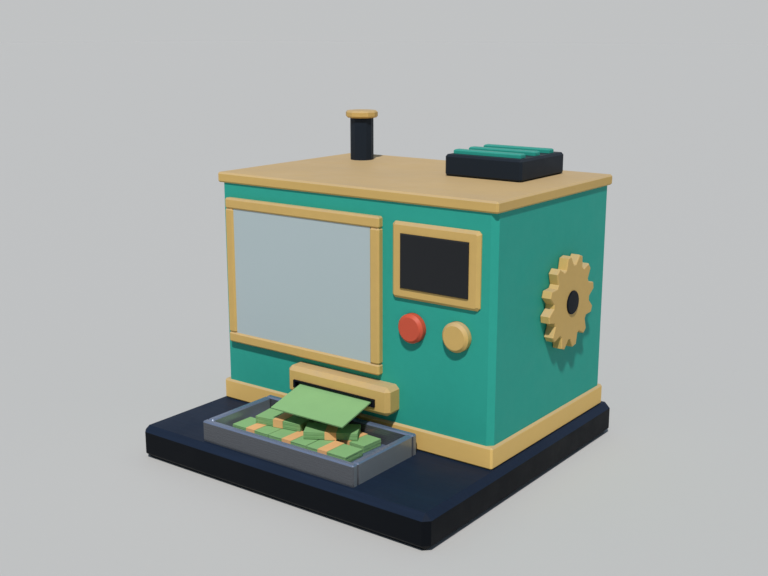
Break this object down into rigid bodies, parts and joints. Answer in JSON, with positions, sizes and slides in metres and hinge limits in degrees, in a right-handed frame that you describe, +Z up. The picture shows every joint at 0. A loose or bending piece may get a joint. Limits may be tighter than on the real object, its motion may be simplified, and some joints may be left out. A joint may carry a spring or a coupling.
{
  "type": "money printing machine",
  "caption": "Table-top novelty printing machine: turning the side gear drives rollers that feed a paper slip out of a slot over a loose tray of banded slips.",
  "frame": {"origin": "centre of the base plate's underside", "axes": "+Z up, -Y the front with the window and slot, +X the side with the gear"},
  "size_m": [0.3023, 0.3, 0.286],
  "materials": {
    "navy_base": "painted, satin",
    "tan_trim_wood": "painted, satin",
    "teal_shell": "moulded, satin",
    "teal_slat": "moulded, satin",
    "navy_plastic": "moulded, satin",
    "tan_trim": "moulded, satin",
    "red_button": "moulded, glossy",
    "window_pane": "frosted, opaque",
    "screen_glass": "dark, smooth",
    "black_plastic": "moulded, satin",
    "tray_metal": "satin, bevelled rim",
    "note_paper": "printed green, matt",
    "band_paper": "matt",
    "shaft_steel": "ground",
    "screw_steel": "zinc plated",
    "spring_steel": "drawn wire",
    "frame_metal": "brushed",
    "bush_brass": "turned",
    "gear_plastic": "moulded acetal",
    "roller_rubber": "matt",
    "inner_plastic": "moulded",
    "circuit_board": "solder mask"
  },
  "bodies": {
    "cabinet": {"base_plate": "navy_base", "plinth": "tan_trim_wood", "body_shell": "teal_shell", "rear_panel": "teal_shell", "rear_screws": "screw_steel", "roof_plate": "tan_trim_wood", "chimney_tube": "navy_plastic", "chimney_cap": "tan_trim", "vent_box": "navy_plastic", "vent_slat_front": "teal_slat", "vent_slat_middle": "teal_slat", "vent_slat_back": "teal_slat", "window_top_rail": "tan_trim", "window_bottom_rail": "tan_trim", "window_left_stile": "tan_trim", "window_right_stile": "tan_trim", "window_pane": "window_pane", "screen_bezel": "tan_trim", "screen_lens": "screen_glass", "display_module": "circuit_board", "button_bracket": "inner_plastic", "switch_board": "circuit_board", "push_switches": "inner_plastic", "red_button_spring": "spring_steel", "tan_button_spring": "spring_steel", "output_block": "tan_trim", "slot_liner": "black_plastic", "shaft_bush": "bush_brass", "roller_bushes": "bush_brass", "print_frame_left": "frame_metal", "print_frame_right": "frame_metal", "note_chute": "inner_plastic", "idler_axle": "shaft_steel"},
    "hand_gear": {"side_gear": "tan_trim", "gear_hub": "black_plastic", "drive_shaft": "shaft_steel", "drive_gear": "gear_plastic"},
    "idler": {"idler_gear": "gear_plastic"},
    "feed_roller": {"feed_roller_shaft": "shaft_steel", "feed_roller_sleeve": "roller_rubber", "roller_gear": "gear_plastic"},
    "pinch_roller": {"pinch_roller_shaft": "shaft_steel", "pinch_roller_sleeve": "roller_rubber"},
    "red_button": {"red_button": "red_button"},
    "tan_button": {"tan_button": "tan_trim"},
    "tray": {"tray_floor": "tray_metal", "tray_front_wall": "tray_metal", "tray_back_wall": "tray_metal", "tray_left_wall": "tray_metal", "tray_right_wall": "tray_metal", "bundle_front_left": "note_paper", "bundle_front_middle": "note_paper", "bundle_front_right": "note_paper", "bundle_back_left": "note_paper", "bundle_back_right": "note_paper", "bundle_top_left": "note_paper", "bundle_top_middle": "note_paper", "bundle_bands": "band_paper"},
    "note": {"note_sheet": "note_paper"}
  },
  "joints": [
    {"name": "gear_spin", "type": "hinge", "parent": "cabinet", "child": "hand_gear", "pos_m": [0.1468, 0.058, 0.142], "axis": [1, 0, 0], "continuous": true},
    {"name": "idler_spin", "type": "hinge", "parent": "cabinet", "child": "idler", "pos_m": [0.06, 0.01388, 0.1059], "axis": [1, 0, 0], "continuous": true},
    {"name": "feed_roller_spin", "type": "hinge", "parent": "cabinet", "child": "feed_roller", "pos_m": [0, -0.02537, 0.09098], "axis": [1, 0, 0], "continuous": true},
    {"name": "pinch_roller_spin", "type": "hinge", "parent": "cabinet", "child": "pinch_roller", "pos_m": [0, -0.01969, 0.07035], "axis": [1, 0, 0], "continuous": true},
    {"name": "red_button_press", "type": "slide", "parent": "cabinet", "child": "red_button", "axis": [0, 1, 0], "range_m": [0, 0.003], "stiffness_N_per_m": 300, "springref_m": -0.002, "deforming": ["red_button_spring"]},
    {"name": "tan_button_press", "type": "slide", "parent": "cabinet", "child": "tan_button", "axis": [0, 1, 0], "range_m": [0, 0.003], "stiffness_N_per_m": 300, "springref_m": -0.002, "deforming": ["tan_button_spring"]},
    {"name": "note_feed", "type": "slide", "parent": "cabinet", "child": "note", "axis": [0, -0.9641, -0.2656], "range_m": [-0.036, 0.02]},
    {"name": "tray_slide", "type": "slide", "parent": "cabinet", "child": "tray", "axis": [0, -1, 0], "range_m": [0, 0.095]}
  ],
  "couplings": [
    {"joint": "idler_spin", "follows": "gear_spin", "ratio": -1.1111},
    {"joint": "feed_roller_spin", "follows": "gear_spin", "ratio": 2},
    {"joint": "pinch_roller_spin", "follows": "gear_spin", "ratio": -3}
  ]
}
